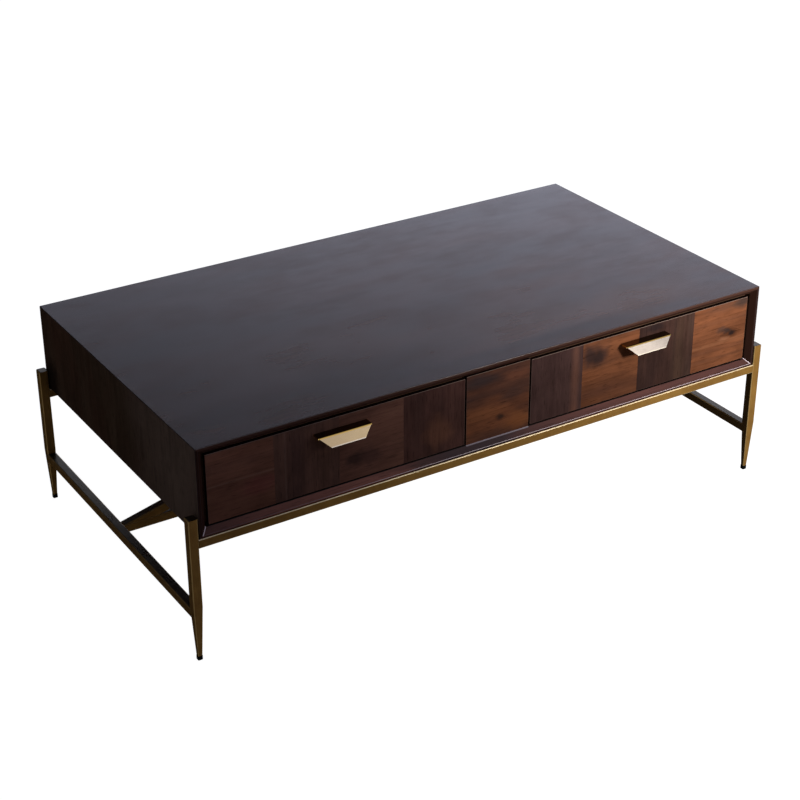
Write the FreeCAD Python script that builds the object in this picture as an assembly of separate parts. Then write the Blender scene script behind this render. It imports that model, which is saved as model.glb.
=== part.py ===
import FreeCAD, Part
import math
import os
from FreeCAD import Vector

# A coffee table: a mitred timber case with two drawers, carried on a slim frame of square tube.
# X runs along the length, the drawers open towards -Y and Z is up, all in millimetres.
# The origin is on the floor under the middle of the whole table, pulls included.

# Whole table
overall_length = 1200.0
overall_height = 395.0
case_depth = 634.0
case_height = 163.0

# Case panels, mitred at the four long corners
panel_t = 14.0
rim_edge = 4.5            # flat front edge outside the bevel, which runs in at 45 degrees
arris_r = 1.5             # rounding between the flat edge and the bevel
outer_ease = 1.2          # rounding of the outer edges
spline_w = 10.0
spline_t = 3.0
spline_stop = 60.0        # the splines stop this far from the front and the rear
spline_depth = 8.0        # from both outer faces to the middle of a spline
groove = 5.0              # depth of every groove that holds the edge of a thin panel
fit_gap = 0.1             # play of a loose panel, spline or screw in its groove or hole
back_t = 6.0
back_inset = 8.0
partition_t = 16.0
partition_in = 59.5       # from the middle of the table to the inner face of a partition
housing = 3.0             # depth of the partitions' housings in the top and the bottom

# Fronts
block_t = 8.0
backing_t = 12.0
closing_gap = 0.5         # between a shut drawer's backing and the partition behind it
outer_gap = {"left": 6.5, "right": 4.0}  # between a drawer front's outer end and the case
drawer_top_gap = 6.0
bottom_gap = 2.0
centre_half = 66.0
centre_top_gap = 3.5
centre_gap = 3.0
front_ease = 1.0
left_joints = (-438.5, -316.5, -192.5)
right_joints = (181.0, 307.0, 435.0)

# Drawer boxes
runner_space = 13.0
box_side_t = 12.0
box_bottom_t = 5.0
box_depth = 460.0
box_low = 10.0            # from the case floor to the underside of a drawer side
box_height = 100.0
bottom_rise = 10.0        # from the underside of a drawer side to its bottom panel

# Runners of three members, each a channel folded from sheet
runner_length = 450.0
runner_inset = 3.5        # from the back of the backing to the front end of a runner
runner_z = 307.0
runner_sheet = 1.2
runner_bend = 1.0
case_member = {"web": 0.0, "lip": 9.5, "half": 22.5}
middle_member = {"web": 4.0, "lip": 9.5, "half": 18.2}
drawer_member = {"web": 13.0, "lip": 6.4, "half": 13.9}
runner_screw_offsets = (35.0, 225.0, 415.0)

# Pulls, folded from sheet
pull_x = 315.0
pull_top = 355.0
pull_w = 101.0
pull_foot_w = 63.4
pull_sheet = 2.5
pull_bend = 2.5
flange_depth = 16.8
slope_run = 11.7
slope_drop = 16.9
leaf_w = 56.0
leaf_h = 17.0
pull_screw_x = 16.0

# Frame of square tube
tube = 17.0
tube_wall = 1.5
tube_corner = 2.5
leg_gap = 2.5             # between a leg and the side of the case
leg_rise = 39.0           # how far the legs stand up beside the case
leg_round = 3.0           # rounding of the outer corner on top of a leg
frame_proud = 0.5         # how far the frame stands proud of the case at front and rear
taper_top = 105.0
foot = 8.0
foot_corner = 1.5
stretcher_top = 99.0
strut_slope = 0.25
plate_length = 140.0
plate_width = 50.0
plate_t = 3.0
glide_side = 9.0
glide_h = 8.0
glide_corner = 2.0
glide_ease = 1.0
stem_d = 4.6
stem_h = 10.0

# Screws: head diameter and height, shank diameter, and length under the head
runner_screw = {"head_d": 7.0, "head_h": 1.6, "shank_d": 3.5, "length": 11.2}
rail_screw = {"head_d": 8.5, "head_h": 2.5, "shank_d": 4.5, "length": 9.5}
plate_screw = {"head_d": 8.5, "head_h": 2.5, "shank_d": 4.5, "length": 14.0}
pull_screw = {"head_d": 8.0, "head_h": 2.4, "shank_d": 4.0, "length": 22.5}
recess_w = 1.0
recess_depth = 1.0
recess_share = 0.6        # length of the cross recess as a share of the head
rail_screw_xs = (-500.0, -200.0, 200.0, 500.0)
access_d = 10.0
plate_screw_x = 45.0
plate_screw_y = 18.0

# Places worked out from the sizes above
case_length = overall_length - 2 * (tube + leg_gap)
half_length = case_length / 2
half_height = case_height / 2
inner_half = half_length - panel_t
case_z = overall_height - case_height
middle_z = case_z + half_height
floor_z = case_z + panel_t
ceiling_z = overall_height - panel_t
bevel = panel_t - rim_edge
pull_reach = flange_depth + slope_run
ahead = case_depth / 2 + pull_reach - bevel
behind = case_depth / 2 + frame_proud
case_y = (ahead - behind) / 2
front = case_y - case_depth / 2
rear = case_y + case_depth / 2
face = front + bevel
block_back = face + block_t
backing_back = block_back + backing_t
partition_front = backing_back + closing_gap
back_y = (rear - back_inset - back_t, rear - back_inset)
partition_out = partition_in + partition_t
front_z = (floor_z + bottom_gap, ceiling_z - drawer_top_gap)
drawer_rear = backing_back + box_depth
box_z = (floor_z + box_low, floor_z + box_low + box_height)
bottom_z = (box_z[0] + bottom_rise, box_z[0] + bottom_rise + box_bottom_t)
runner_y = (backing_back + runner_inset, backing_back + runner_inset + runner_length)
half_frame = overall_length / 2
frame_y = (case_y - behind, case_y + behind)
leg_top = case_z + leg_rise
rail_z = (case_z - tube, case_z)
stretcher_z = (stretcher_top - tube, stretcher_top)
inside_legs = half_frame - tube
plate_z = (case_z - plate_t, case_z)

axis_x = Vector(1, 0, 0)
axis_y = Vector(0, 1, 0)
axis_z = Vector(0, 0, 1)
origin = Vector(0, 0, 0)
tiny = 0.001


def ordered(a, b):
    """Two values as a pair of limits, the lower one first."""
    return (min(a, b), max(a, b))


def inset(pair, by):
    """A pair of limits drawn in by the same amount at both ends."""
    return (pair[0] + by, pair[1] - by)


def box(x, y, z):
    """Block between three pairs of limits."""
    return Part.makeBox(x[1] - x[0], y[1] - y[0], z[1] - z[0], Vector(x[0], y[0], z[0]))


def prism(points, way):
    """Solid swept from a closed outline of straight sides."""
    return Part.Face(Part.makePolygon(points + [points[0]])).extrude(way)


def edges_along(shape, axis):
    """The edges of a shape that run straight along an axis."""
    found = []
    for edge in shape.Edges:
        step = edge.Vertexes[-1].Point - edge.Vertexes[0].Point
        if step.Length > tiny and abs(step.dot(axis)) > (1 - tiny) * step.Length:
            found.append(edge)
    return found


def edges_near(edges, axis, value):
    """Those edges whose ends both lie at one value along an axis."""
    return [edge for edge in edges
            if all(abs(vertex.Point.dot(axis) - value) < tiny for vertex in edge.Vertexes)]


def cut_all(shape, tools):
    """A shape less every tool in a list."""
    return shape.cut(Part.makeCompound(tools)) if tools else shape


def mirrored_x(shape):
    """The same piece on the other side of the table, left to right."""
    return shape.mirror(origin, axis_x)


def mirrored_y(shape):
    """The same piece on the other side of the case, front to rear."""
    return shape.mirror(Vector(0, case_y, 0), axis_y)


def placed(shape, point, way):
    """A shape made along +Z, turned to point another way and set at a point."""
    turn = FreeCAD.Rotation(axis_z, way)
    shape.Placement = FreeCAD.Placement(point, turn)
    return shape


def screw(point, way, kind):
    """Pan-head screw whose head sits on a point, with its shank going the given way."""
    head = Part.makeCylinder(kind["head_d"] / 2, kind["head_h"], Vector(0, 0, -kind["head_h"]))
    rim = edges_near(head.Edges, axis_z, -kind["head_h"])
    head = head.makeFillet(kind["head_h"] / 2, rim)
    reach = kind["head_d"] * recess_share / 2
    low = -kind["head_h"]
    for half_x, half_y in ((reach, recess_w / 2), (recess_w / 2, reach)):
        head = head.cut(box((-half_x, half_x), (-half_y, half_y), (low, low + recess_depth)))
    shank = Part.makeCylinder(kind["shank_d"] / 2, kind["length"])
    return placed(head.fuse(shank).removeSplitter(), point, way)


def bore(point, way, kind):
    """Hole for the shank of a screw, a little wider and longer than the shank."""
    hole = Part.makeCylinder(kind["shank_d"] / 2 + fit_gap, kind["length"] + fit_gap)
    return placed(hole, point, way)


def screws(seats, kind):
    """A group of alike screws on a list of seats."""
    return Part.makeCompound([screw(point, way, kind) for point, way in seats])


def bores(seats, kind):
    """The holes for a group of alike screws."""
    return [bore(point, way, kind) for point, way in seats]


def rail_seats():
    """Seats of the screws that hold the case down on the two rails, inside their top walls."""
    seats = []
    for y in (frame_y[0] + tube / 2, frame_y[1] - tube / 2):
        for x in rail_screw_xs:
            seats.append((Vector(x, y, case_z - tube_wall), axis_z))
    return seats


def plate_seats():
    """Seats of the screws under the middle plate."""
    seats = []
    for x in (-plate_screw_x, plate_screw_x):
        for y in (case_y - plate_screw_y, case_y + plate_screw_y):
            seats.append((Vector(x, y, plate_z[0]), axis_z))
    return seats


def runner_walls(side):
    """The faces that carry one drawer's runners, each with the way towards the drawer."""
    return ((side * inner_half, -side), (side * partition_out, side))


def case_screw_seats(side):
    """Seats of the screws that hold one drawer's runners to the case."""
    seats = []
    for wall, way in runner_walls(side):
        for offset in runner_screw_offsets:
            seat = Vector(wall + way * runner_sheet, runner_y[0] + offset, runner_z)
            seats.append((seat, Vector(-way, 0, 0)))
    return seats


def drawer_screw_seats(side):
    """Seats of the screws that hold the runners to one drawer's sides."""
    seats = []
    for wall, way in runner_walls(side):
        for offset in runner_screw_offsets:
            x = wall + way * (runner_space - runner_sheet)
            seats.append((Vector(x, runner_y[0] + offset, runner_z), Vector(way, 0, 0)))
    return seats


def pull_seats(side):
    """Seats of the screws that hold one pull, inside the drawer."""
    z = pull_top - (pull_sheet + leaf_h) / 2
    return [(Vector(side * pull_x + x, backing_back, z), Vector(0, -1, 0))
            for x in (-pull_screw_x, pull_screw_x)]


def rim_panel(length, reach):
    """Case panel around the middle of the case, its outer face at the given reach above it."""
    half = length / 2
    outline = [(front, reach), (front, reach - rim_edge), (face, reach - panel_t),
               (rear, reach - panel_t), (rear, reach)]
    slab = prism([Vector(-half, y, z) for y, z in outline], Vector(length, 0, 0))
    arris = edges_near(edges_near(edges_along(slab, axis_x), axis_y, front), axis_z, reach - rim_edge)
    slab = slab.makeFillet(arris_r, arris)
    mitre = [(-half, reach), (half, reach), (half - panel_t, reach - panel_t),
             (panel_t - half, reach - panel_t)]
    wedge = prism([Vector(x, front, z) for x, z in mitre], Vector(0, case_depth, 0))
    return slab.common(wedge)


def mitre_spline(side, level, gap):
    """Loose spline across one mitre, or with a gap around it the slot that holds it."""
    y = inset((front + spline_stop, rear - spline_stop), -gap)
    half_w = spline_w / 2 + gap
    half_t = spline_t / 2 + gap
    tongue = box((-half_w, half_w), y, (-half_t, half_t))
    tongue.rotate(origin, axis_y, 45 * side * level)
    tongue.translate(Vector(side * (half_length - spline_depth), 0,
                            middle_z + level * (half_height - spline_depth)))
    return tongue


def case_pieces():
    """The four mitred panels, their splines, the back and the blind middle bay."""
    envelope = box((-half_length, half_length), (front, rear), (case_z, overall_height))
    envelope = envelope.makeFillet(outer_ease, envelope.Edges)
    corners = [(side, level) for side in (-1, 1) for level in (-1, 1)]
    slots = [mitre_spline(side, level, fit_gap) for side, level in corners]
    back_slot = box((-inner_half - groove, inner_half + groove), inset(back_y, -fit_gap),
                    (floor_z - groove, ceiling_z + groove))
    partitions = {}
    for name, side in (("left_partition", -1), ("right_partition", 1)):
        partitions[name] = box(ordered(side * partition_in, side * partition_out),
                               (partition_front, back_y[0] - fit_gap),
                               (floor_z - housing, ceiling_z + housing))
    housings = list(partitions.values())
    bottom_bores = bores(rail_seats(), rail_screw) + bores(plate_seats(), plate_screw)
    left_bores = bores(case_screw_seats(-1), runner_screw)
    right_bores = bores(case_screw_seats(1), runner_screw)

    panels = (("top_panel", case_length, half_height, 0, housings),
              ("right_side_panel", case_height, half_length, 90, right_bores),
              ("bottom_panel", case_length, half_height, 180, housings + bottom_bores),
              ("left_side_panel", case_height, half_length, 270, left_bores))
    pieces = {}
    for name, length, reach, turn, holes in panels:
        panel = rim_panel(length, reach)
        panel.rotate(origin, axis_y, turn)
        panel.translate(Vector(0, 0, middle_z))
        pieces[name] = cut_all(panel.common(envelope), slots + [back_slot] + holes)
    for name, partition in partitions.items():
        pieces[name] = cut_all(partition, left_bores + right_bores)

    pieces["mitre_splines"] = Part.makeCompound([mitre_spline(side, level, 0) for side, level in corners])
    lip = groove - fit_gap
    pieces["back_panel"] = box((-inner_half - lip, inner_half + lip), back_y, (floor_z - lip, ceiling_z + lip))
    centre_x = (-centre_half, centre_half)
    centre_z = (floor_z, ceiling_z - centre_top_gap)
    block = box(centre_x, (face, block_back), centre_z)
    shown = edges_near(block.Edges, axis_y, face)
    seated = edges_near(shown, axis_z, floor_z)
    eased = [edge for edge in shown if not any(edge.isSame(other) for other in seated)]
    pieces["centre_block"] = block.makeFillet(front_ease, eased)
    pieces["centre_backing"] = box(centre_x, (block_back, partition_front), centre_z)
    return pieces


def square_tube(x, y, z, axis):
    """Square tube with rounded corners, open at both ends, between three pairs of limits."""
    skin = box(x, y, z)
    skin = skin.makeFillet(tube_corner, edges_along(skin, axis))
    limits = []
    for pair, direction in ((x, axis_x), (y, axis_y), (z, axis_z)):
        limits.append(pair if direction.dot(axis) > 0 else inset(pair, tube_wall))
    hollow = box(*limits)
    hollow = hollow.makeFillet(tube_corner - tube_wall, edges_along(hollow, axis))
    return skin.cut(hollow)


def rounded_square(centre, width, radius):
    """Level square outline with round corners."""
    half = width / 2
    straight = Part.makeLine(Vector(half, radius - half, 0), Vector(half, half - radius, 0))
    corner = Part.makeCircle(radius, Vector(half - radius, half - radius, 0), axis_z, 0, 90)
    outline = []
    for quarter in range(4):
        for edge in (straight, corner):
            turned = edge.copy()
            turned.rotate(origin, axis_z, 90 * quarter)
            turned.translate(centre)
            outline.append(turned)
    return Part.Wire(outline)


def leg_loft(thinner, top):
    """Square post that tapers below its straight part, drawn in all round by one amount."""
    x = half_frame - tube / 2
    y = frame_y[0] + tube / 2
    stations = ((glide_h, foot, foot_corner), (taper_top, tube, tube_corner), (top, tube, tube_corner))
    outlines = [rounded_square(Vector(x, y, z), width - 2 * thinner, radius - thinner * radius / tube_corner)
                for z, width, radius in stations]
    return Part.makeLoft(outlines, True, True)


def front_right_leg():
    """Tapered tube leg with a closed top, rounded at its outer corner."""
    skin = leg_loft(0, leg_top)
    shoulder = box((inside_legs, half_frame), (frame_y[0], frame_y[0] + tube), (0, leg_top))
    corner = edges_near(edges_near(edges_along(shoulder, axis_y), axis_x, half_frame), axis_z, leg_top)
    shoulder = shoulder.makeFillet(leg_round, corner)
    return skin.common(shoulder).cut(leg_loft(tube_wall, leg_top - tube_wall))


def front_right_glide():
    """Pad under a leg, with a stem that plugs into the tube."""
    x = half_frame - tube / 2
    y = frame_y[0] + tube / 2
    half = glide_side / 2
    pad = box((x - half, x + half), (y - half, y + half), (0, glide_h))
    pad = pad.makeFillet(glide_corner, edges_along(pad, axis_z))
    pad = pad.makeFillet(glide_ease, edges_near(pad.Edges, axis_z, 0))
    stem = Part.makeCylinder(stem_d / 2, stem_h, Vector(x, y, glide_h))
    return pad.fuse(stem)


def left_strut():
    """Sloping tube from the left end of the crossbar up to the middle plate."""
    rise = strut_slope * inside_legs
    length = math.hypot(rise, inside_legs) + 2 * tube
    strut = square_tube((-tube, length - tube), (case_y - tube / 2, case_y + tube / 2), (-tube, 0), axis_x)
    strut.rotate(origin, axis_y, -math.degrees(math.atan(strut_slope)))
    strut.translate(Vector(-inside_legs, 0, stretcher_top))
    room = box((-inside_legs, 0), (case_y - tube, case_y + tube), (stretcher_top, plate_z[0]))
    return strut.common(room)


def frame_pieces():
    """Legs and glides, rails, stretchers, the brace and the screws that hold the case."""
    pieces = {}
    leg = front_right_leg()
    glide = front_right_glide()
    for name, part in (("leg", leg), ("glide", glide)):
        pieces["front_right_" + name] = part
        pieces["front_left_" + name] = mirrored_x(part)
        pieces["rear_right_" + name] = mirrored_y(part)
        pieces["rear_left_" + name] = mirrored_x(mirrored_y(part))

    across = (-inside_legs, inside_legs)
    front_rail = square_tube(across, (frame_y[0], frame_y[0] + tube), rail_z, axis_x)
    holes = bores(rail_seats(), rail_screw)
    for point, way in rail_seats():
        holes.append(Part.makeCylinder(access_d / 2, tube_wall, Vector(point.x, point.y, rail_z[0])))
    pieces["front_rail"] = cut_all(front_rail, holes)
    pieces["rear_rail"] = cut_all(mirrored_y(front_rail), holes)

    post = leg_loft(0, leg_top)
    stretcher = square_tube((inside_legs, half_frame), inset(frame_y, tube / 2), stretcher_z, axis_y)
    stretcher = cut_all(stretcher, [post, mirrored_y(post)])
    pieces["right_stretcher"] = stretcher
    pieces["left_stretcher"] = mirrored_x(stretcher)

    pieces["crossbar"] = square_tube(across, (case_y - tube / 2, case_y + tube / 2), stretcher_z, axis_x)
    strut = left_strut()
    pieces["left_strut"] = strut
    pieces["right_strut"] = mirrored_x(strut)
    plate = box((-plate_length / 2, plate_length / 2),
                (case_y - plate_width / 2, case_y + plate_width / 2), plate_z)
    pieces["centre_plate"] = cut_all(plate, bores(plate_seats(), plate_screw))
    pieces["rail_screws"] = screws(rail_seats(), rail_screw)
    pieces["plate_screws"] = screws(plate_seats(), plate_screw)
    return pieces


def channel(wall, way, member):
    """One runner member: a web with two lips, at its distance from the wall that carries it."""
    back = wall + way * member["web"]
    free = wall + way * member["lip"]
    z = (runner_z - member["half"], runner_z + member["half"])
    skin = box(ordered(back, free), runner_y, z)
    skin = skin.makeFillet(runner_bend, edges_near(edges_along(skin, axis_y), axis_x, back))
    web_face = back + math.copysign(runner_sheet, free - back)
    return skin.cut(box(ordered(web_face, free), runner_y, inset(z, runner_sheet)))


def runner_pieces():
    """Three pairs of runner members for each drawer, and the screws into the case."""
    pieces = {}
    seats = []
    for name, side in (("left", -1), ("right", 1)):
        holes = bores(case_screw_seats(side), runner_screw) + bores(drawer_screw_seats(side), runner_screw)
        for kind, member in (("case", case_member), ("middle", middle_member), ("drawer", drawer_member)):
            pair = [channel(wall, way, member) for wall, way in runner_walls(side)]
            if kind != "middle":
                pair = [cut_all(each, holes) for each in pair]
            pieces[name + "_runner_" + kind + "_members"] = Part.makeCompound(pair)
        seats += case_screw_seats(side)
    pieces["case_runner_screws"] = screws(seats, runner_screw)
    return pieces


def pull(centre_x):
    """Folded sheet pull: a flange, a sloping grip that narrows downwards, and a leaf to fix it by."""
    slope = math.hypot(slope_run, slope_drop)
    inward = Vector(0, slope_drop, -slope_run) * (pull_sheet / slope)
    half = pull_w / 2
    fold_y = face - flange_depth
    foot_y = face - pull_reach
    foot_z = pull_top - slope_drop
    corners = [Vector(centre_x - half, fold_y, pull_top), Vector(centre_x + half, fold_y, pull_top),
               Vector(centre_x + pull_foot_w / 2, foot_y, foot_z),
               Vector(centre_x - pull_foot_w / 2, foot_y, foot_z)]
    grip = prism(corners, inward)
    flange = box((centre_x - half, centre_x + half), (fold_y, face), (pull_top - pull_sheet, pull_top))
    leaf = box((centre_x - leaf_w / 2, centre_x + leaf_w / 2), (face - pull_sheet, face),
               (pull_top - leaf_h, pull_top))
    sheet = flange.fuse([grip, leaf]).removeSplitter()
    fold = edges_near(edges_near(edges_along(sheet, axis_x), axis_y, fold_y), axis_z, pull_top)
    return sheet.makeFillet(pull_bend, fold)


def drawer_pieces(name, side, joints):
    """One drawer: its front blocks on a backing board, its box and its pull."""
    pieces = {}
    front_x = ordered(side * (centre_half + centre_gap), side * (inner_half - outer_gap[name]))
    pull_holes = bores(pull_seats(side), pull_screw)
    side_holes = bores(drawer_screw_seats(side), runner_screw)
    slab = box(front_x, (face, block_back), front_z)
    slab = slab.makeFillet(front_ease, edges_near(slab.Edges, axis_y, face))
    cuts = [front_x[0], *joints, front_x[1]]
    for number in range(len(cuts) - 1):
        share = box((cuts[number], cuts[number + 1]), (face, block_back), front_z)
        pieces[f"{name}_front_block_{number + 1}"] = cut_all(slab.common(share), pull_holes)

    outer_x = ordered(side * (partition_out + runner_space), side * (inner_half - runner_space))
    inner_x = inset(outer_x, box_side_t)
    bottom_y = (backing_back - groove, drawer_rear)
    bottom_slot = box(inset(inner_x, -groove), bottom_y, inset(bottom_z, -fit_gap))
    backing = box(front_x, (block_back, backing_back), front_z)
    pieces[name + "_drawer_backing"] = cut_all(backing, pull_holes + [bottom_slot])
    for which, x in (("left", (outer_x[0], inner_x[0])), ("right", (inner_x[1], outer_x[1]))):
        board = box(x, (backing_back, drawer_rear), box_z)
        pieces[f"{name}_drawer_{which}_side"] = cut_all(board, side_holes + [bottom_slot])
    pieces[name + "_drawer_back"] = box(inner_x, (drawer_rear - box_side_t, drawer_rear),
                                        (bottom_z[1], box_z[1]))
    pieces[name + "_drawer_bottom"] = box(inset(inner_x, fit_gap - groove),
                                          (bottom_y[0] + fit_gap, drawer_rear), bottom_z)
    pieces[name + "_pull"] = cut_all(pull(side * pull_x), pull_holes)
    pieces[name + "_pull_screws"] = screws(pull_seats(side), pull_screw)
    pieces[name + "_drawer_runner_screws"] = screws(drawer_screw_seats(side), runner_screw)
    return pieces


os.makedirs("parts", exist_ok=True)
table = {}
table.update(case_pieces())
table.update(frame_pieces())
table.update(runner_pieces())
table.update(drawer_pieces("left", -1, left_joints))
table.update(drawer_pieces("right", 1, right_joints))
for node, shape in table.items():
    shape.exportStep(f"parts/{node}.step")
    print(node, "solids", len(shape.Solids), "volume", round(shape.Volume), "valid", shape.isValid())
print("nodes", len(table))
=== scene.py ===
# %% [markdown]
# # A coffee table in mixed wood on an aged brass frame
# The construction comes first: every board, tube, runner and screw of the real table is loaded as a
# fixed frame. This lesson then gives each of them its finish, down to the rubbed arrises and the dark
# corners where lacquer gathers, and lights the table like a catalogue photograph.

# %% Load the construction
import math
import bpy
from mathutils import Matrix, Vector


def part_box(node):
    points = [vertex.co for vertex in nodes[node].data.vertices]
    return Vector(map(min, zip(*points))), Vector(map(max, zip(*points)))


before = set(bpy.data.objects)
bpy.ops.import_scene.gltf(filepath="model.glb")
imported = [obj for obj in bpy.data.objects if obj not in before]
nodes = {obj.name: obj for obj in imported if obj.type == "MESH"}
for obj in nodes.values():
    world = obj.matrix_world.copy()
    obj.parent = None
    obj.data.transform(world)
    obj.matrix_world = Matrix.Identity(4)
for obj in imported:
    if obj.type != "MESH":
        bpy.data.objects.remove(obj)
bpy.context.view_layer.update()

bpy.ops.object.select_all(action="DESELECT")
print("pieces loaded:", len(nodes))

# %% [markdown]
# Every later size is read from the construction, so nothing has to be fitted afterwards. The case is
# the timber box; its front plane, the plane of the drawer fronts and its floor and ceiling are used
# again and again.

# %% Places read from the construction
MM = 0.001
case_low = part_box("bottom_panel")[0]
case_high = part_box("top_panel")[1]
front_y = case_low.y
face_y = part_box("centre_block")[0].y
centre_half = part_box("centre_block")[1].x
case_middle = (case_low + case_high) / 2
print("case from", tuple(round(v, 4) for v in case_low), "to", tuple(round(v, 4) for v in case_high))

# %% [markdown]
# ## Shader helpers
# A material is a small graph. Two helpers keep the graphs readable: one adds a node with its settings
# and inputs, where an input is either a number or another node's output, and one does a sum.


# %% Helpers that add shader nodes
def add(tree, kind, inputs=None, **settings):
    """A node with its settings; each input is a constant or a socket to link from."""
    node = tree.nodes.new(kind)
    for name, value in settings.items():
        setattr(node, name, value)
    for name, value in (inputs or {}).items():
        if isinstance(value, bpy.types.NodeSocket):
            tree.links.new(value, node.inputs[name])
        else:
            node.inputs[name].default_value = value
    return node


def calc(tree, operation, *values, clamp=False):
    """The result of a Math node over sockets and numbers."""
    node = add(tree, "ShaderNodeMath", dict(enumerate(values)), operation=operation, use_clamp=clamp)
    return node.outputs[0]


def step(tree, value, start, end):
    """0 below start and 1 above end, smooth between; a start above the end turns it round."""
    node = add(tree, "ShaderNodeMapRange", {"Value": value, "From Min": start, "From Max": end},
               interpolation_type="SMOOTHSTEP")
    return node.outputs["Result"]


def blend(tree, factor, a, b, mode="MIX"):
    """Colour b over colour a, by a factor."""
    node = add(tree, "ShaderNodeMix", {0: factor, 6: a, 7: b}, data_type="RGBA", blend_type=mode,
               clamp_factor=True)
    return node.outputs[2]


def noise(tree, vector, scale, detail=2.0, seed=0.0, rough=0.5):
    """Noise from 0 to 1; a seed moves it to another part of the pattern."""
    node = add(tree, "ShaderNodeTexNoise",
               {"Vector": vector, "W": seed, "Scale": scale, "Detail": detail, "Roughness": rough},
               noise_dimensions="4D")
    return node.outputs["Fac"]


def stretch(tree, vector, factors):
    """A vector with each direction scaled by its own factor."""
    node = add(tree, "ShaderNodeVectorMath", {0: vector, 1: factors}, operation="MULTIPLY")
    return node.outputs["Vector"]


def new_group(name, inputs, outputs):
    """An empty shader node group with named sockets; returns it with its inner ends."""
    group = bpy.data.node_groups.new(name, "ShaderNodeTree")
    for label, (kind, value) in inputs.items():
        socket = group.interface.new_socket(label, in_out="INPUT", socket_type="NodeSocket" + kind)
        socket.default_value = value
    for label in outputs:
        group.interface.new_socket(label, in_out="OUTPUT", socket_type="NodeSocketFloat")
    return group, add(group, "NodeGroupInput").outputs, add(group, "NodeGroupOutput").inputs


def use(tree, group, inputs):
    """A node group placed in a material; returns its outputs."""
    node = add(tree, "ShaderNodeGroup", node_tree=group)
    for name, value in inputs.items():
        if isinstance(value, bpy.types.NodeSocket):
            tree.links.new(value, node.inputs[name])
        else:
            node.inputs[name].default_value = value
    return node.outputs


def new_material(name, **constants):
    """A material with a Principled shader whose fixed values are set on its own sockets."""
    material = bpy.data.materials.new(name)
    material.use_nodes = True
    tree = material.node_tree
    tree.nodes.clear()
    shader = add(tree, "ShaderNodeBsdfPrincipled", {k.replace("_", " "): v for k, v in constants.items()})
    surface = add(tree, "ShaderNodeOutputMaterial")
    tree.links.new(shader.outputs[0], surface.inputs["Surface"])
    return material, tree, shader.inputs, add(tree, "ShaderNodeTexCoord").outputs


def relief(tree, sockets, height, distance):
    """Bump from a height, as deep as the distance in metres."""
    node = add(tree, "ShaderNodeBump", {"Height": height, "Distance": distance, "Strength": 1.0})
    tree.links.new(node.outputs[0], sockets["Normal"])


# %% [markdown]
# Edges wear first. A face that looks along X, Y or Z has one normal component near 1, and a rounded
# edge between two faces has none, so the largest component tells edges from faces. The other outputs
# say how far a face looks up, ahead or aside, which tells a lacquered top from its sides. Normals are
# read in the object's own space.


# %% The edge group
def build_edge_group():
    group, given, out = new_group("edge", {"Normal": ("Vector", (0, 0, 1))},
                                  ("Square", "Up", "Ahead", "Aside"))
    size = add(group, "ShaderNodeVectorMath", {0: given["Normal"]}, operation="ABSOLUTE").outputs[0]
    parts = add(group, "ShaderNodeSeparateXYZ", {0: size}).outputs
    largest = calc(group, "MAXIMUM", calc(group, "MAXIMUM", parts["X"], parts["Y"]), parts["Z"])
    signed = add(group, "ShaderNodeSeparateXYZ", {0: given["Normal"]}).outputs
    group.links.new(largest, out["Square"])
    group.links.new(signed["Z"], out["Up"])
    group.links.new(calc(group, "MULTIPLY", signed["Y"], -1.0), out["Ahead"])
    group.links.new(signed["X"], out["Aside"])
    return group


edge_group = build_edge_group()
print("group:", edge_group.name)

# %% [markdown]
# ## Wood grain
# Wood is a stack of growth rings around a pith that is usually outside the board. One group makes the
# pattern of any board: rings at a distance from a line along the grain, bent by slow noise and pushed
# aside by a knot, with fine fibres and dark pores over them. Its vector runs along the grain in X.
# It puts out masks only, so that each board mixes its own colours. The stretch values say how much
# finer each pattern is across the grain than along it, and each pair is where a mask starts and is full.

# %% The grain group
KNOT_STRETCH = (0.55, 1.0, 1.0)
KNOT_UNEVEN = 1.2
KNOT_PUSH = 0.75
KNOT_CORE = (1.5, 0.2)
CLOUD_STRETCH = (2.0, 9.0, 9.0)
BREAK_STRETCH = (3.0, 60.0, 60.0)
FIBRE_STRETCH = (12.0, 260.0, 260.0)
PORE_STRETCH = (40.0, 620.0, 620.0)
RING_RISE = 2.2
RING_FALL = (1.0, 0.86)
RING_BREAKS = (0.25, 0.75)
PORE_HOLES = (0.60, 0.72)


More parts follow.
